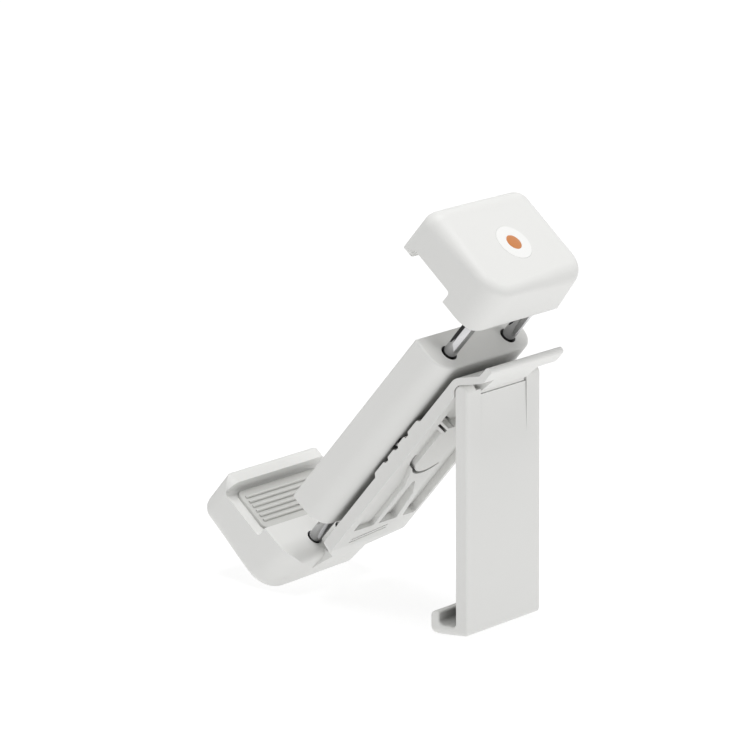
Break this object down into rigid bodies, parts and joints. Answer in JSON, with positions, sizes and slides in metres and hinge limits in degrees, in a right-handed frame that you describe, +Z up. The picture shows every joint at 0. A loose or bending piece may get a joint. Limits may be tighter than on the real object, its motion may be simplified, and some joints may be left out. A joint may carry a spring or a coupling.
{
  "type": "desk phone holder",
  "caption": "Compact clamp stand that grips a phone between two padded jaws on telescopic steel rods, with a folding kickstand behind.",
  "frame": {"origin": "bottom centre of the holder's bounding box, on the surface it stands on", "axes": "+Z up, +Y towards the side that faces the screen, +X across the holder, along the phone's long side"},
  "size_m": [0.031, 0.0742, 0.0869],
  "materials": {
    "moulded_white": "fine matte moulding",
    "soft_pad": "soft matte silicone",
    "polished_steel": "polished",
    "spring_steel": "rolled strip",
    "bush_plastic": "turned acetal",
    "badge_white": "smooth"
  },
  "bodies": {
    "base": {"back_frame": "moulded_white", "lower_jaw_pad": "soft_pad", "lower_rod_left": "polished_steel", "lower_rod_right": "polished_steel", "lower_rod_clip_left": "spring_steel", "lower_rod_clip_right": "spring_steel", "hinge_pin": "polished_steel", "leg_washer_left": "spring_steel", "leg_washer_right": "spring_steel"},
    "housing_stage": {"housing": "moulded_white", "housing_cover": "moulded_white", "rest_pad": "soft_pad", "upper_bush_left": "bush_plastic", "upper_bush_right": "bush_plastic", "lower_bush_left": "bush_plastic", "lower_bush_right": "bush_plastic", "friction_spring": "spring_steel", "detent_spring_left": "spring_steel", "detent_spring_right": "spring_steel"},
    "jaw_stage": {"upper_jaw": "moulded_white", "upper_jaw_pad": "soft_pad", "upper_rod_left": "polished_steel", "upper_rod_right": "polished_steel", "upper_rod_clip_left": "spring_steel", "upper_rod_clip_right": "spring_steel", "badge_disc": "badge_white"},
    "leg": {"kickstand": "moulded_white"}
  },
  "joints": [
    {"name": "housing_slide", "type": "slide", "parent": "base", "child": "housing_stage", "axis": [0, -0.6114, 0.7913], "range_m": [-0.0106, 0.008]},
    {"name": "jaw_slide", "type": "slide", "parent": "housing_stage", "child": "jaw_stage", "axis": [0, -0.6114, 0.7913], "range_m": [-0.0106, 0.008]},
    {"name": "leg_hinge", "type": "hinge", "parent": "base", "child": "leg", "pos_m": [0, -0.02663, 0.04929], "axis": [1, 0, 0], "range_deg": [0, 32.9]}
  ]
}
